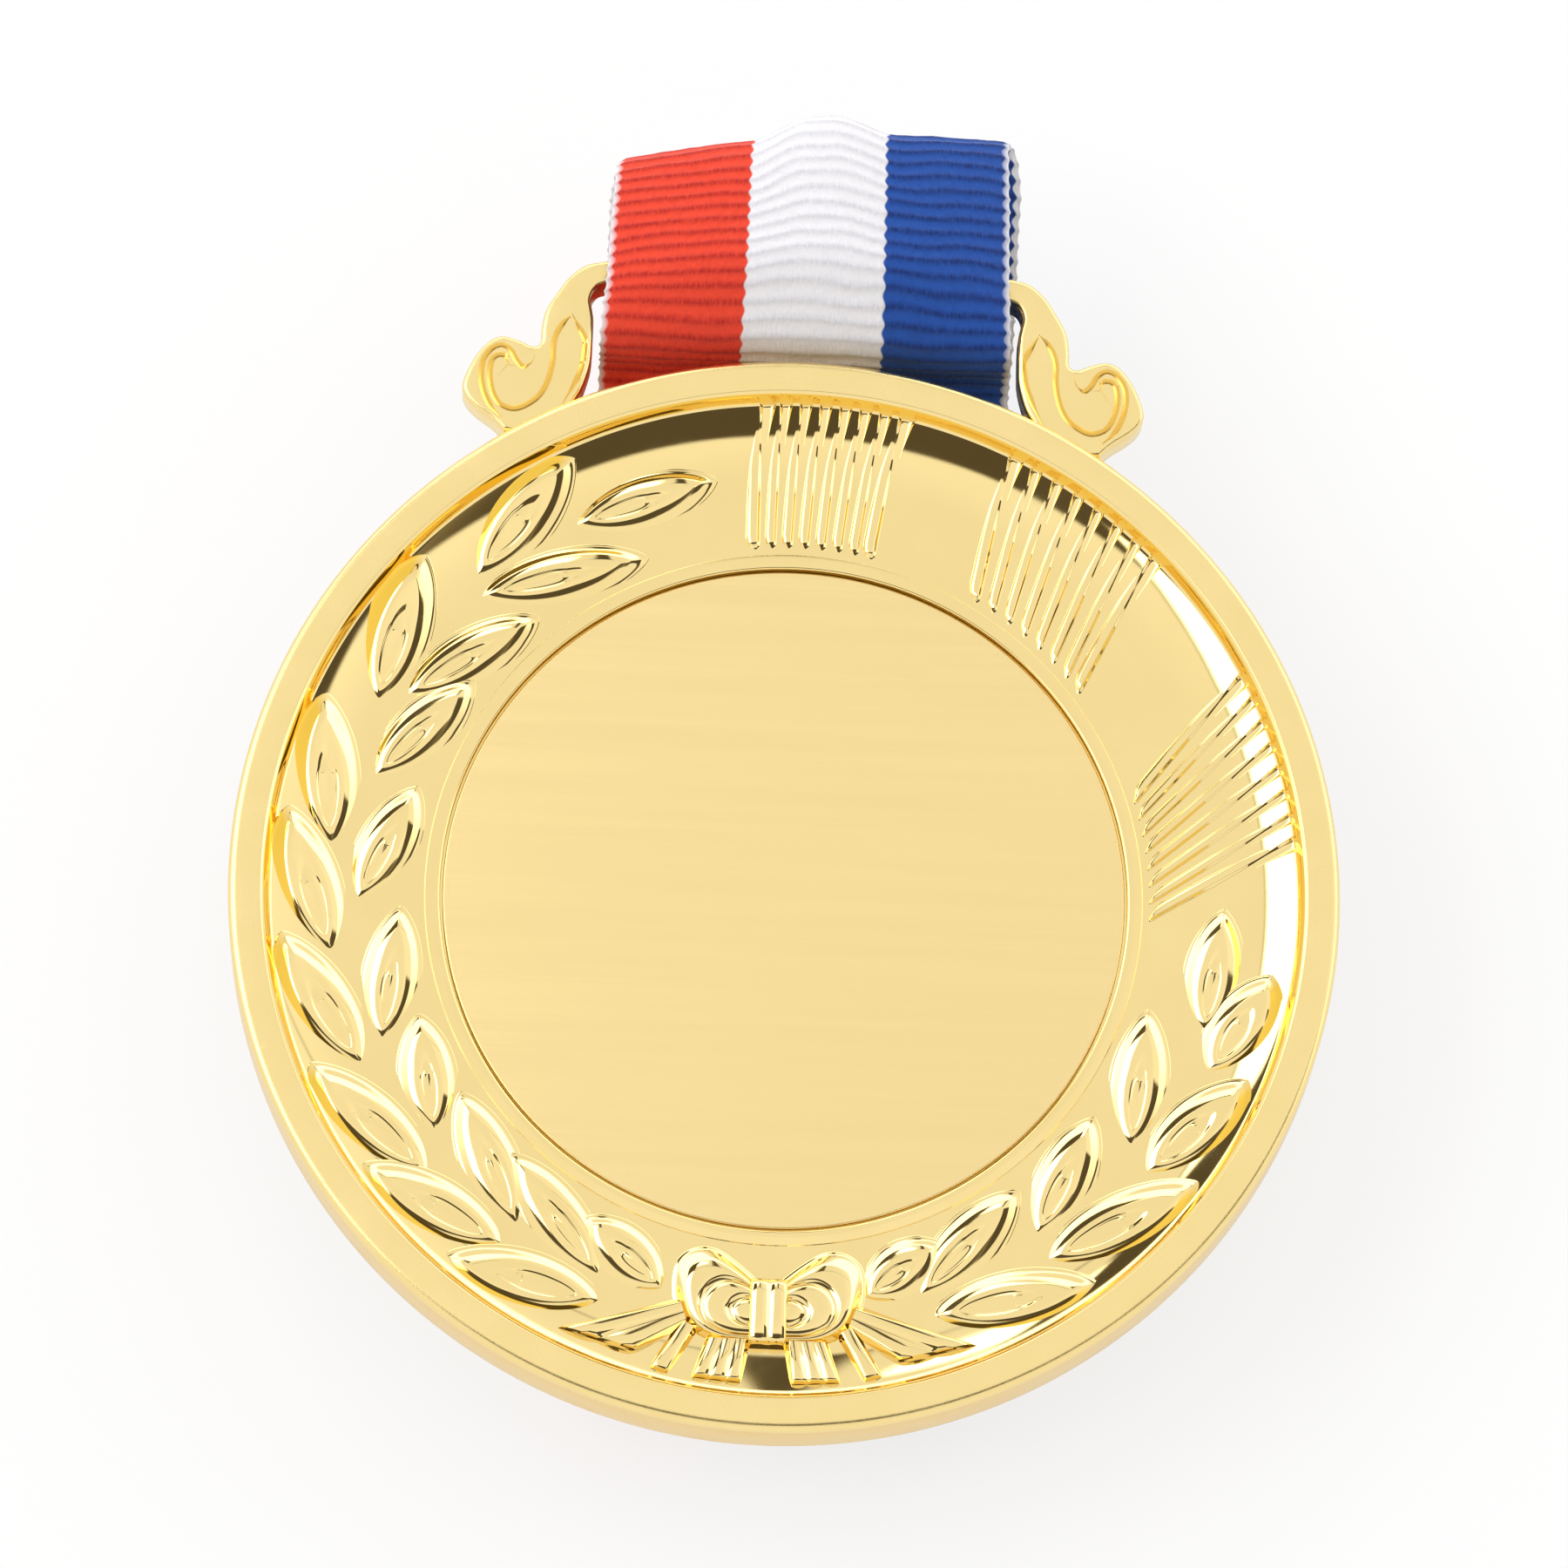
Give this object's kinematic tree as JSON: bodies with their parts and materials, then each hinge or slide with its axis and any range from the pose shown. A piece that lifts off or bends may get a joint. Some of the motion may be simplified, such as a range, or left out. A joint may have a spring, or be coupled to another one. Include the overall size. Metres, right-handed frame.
{
  "type": "award medal",
  "caption": "Gilt award medal with a coved rim, laurel and ray relief, bow, brushed centre insert and scroll hanger on a striped grosgrain neck ribbon folded beneath it.",
  "frame": {"origin": "on the table under the disc's centre, on the underside of the folded ribbon", "axes": "+X right across the face, +Y towards the hanger, +Z out of the face"},
  "size_m": [0.065, 0.0805, 0.0174],
  "materials": {
    "gilt_metal": "polished gilt plating with a satin rim",
    "brushed_gilt": "fine straight brushing",
    "adhesive": "matte adhesive film",
    "ribbon_cloth": "ribbed grosgrain in red, white and blue stripes",
    "seam_thread": "sewing thread"
  },
  "bodies": {
    "ribbon": {"ribbon_loop": "ribbon_cloth", "ribbon_hank": "ribbon_cloth", "seam_stitching": "seam_thread"},
    "medal": {"medal_disc": "gilt_metal", "hanger": "gilt_metal", "laurel_left": "gilt_metal", "laurel_right": "gilt_metal", "rays_top": "gilt_metal", "rays_upper_right": "gilt_metal", "rays_right": "gilt_metal", "bow": "gilt_metal", "insert_disc": "brushed_gilt", "insert_adhesive": "adhesive"}
  },
  "joints": [
    {"name": "ribbon_bar_hinge", "type": "hinge", "parent": "ribbon", "child": "medal", "pos_m": [0, 0.0379, 0.0128], "axis": [-1, 0, 0], "range_deg": [0, 90]}
  ]
}
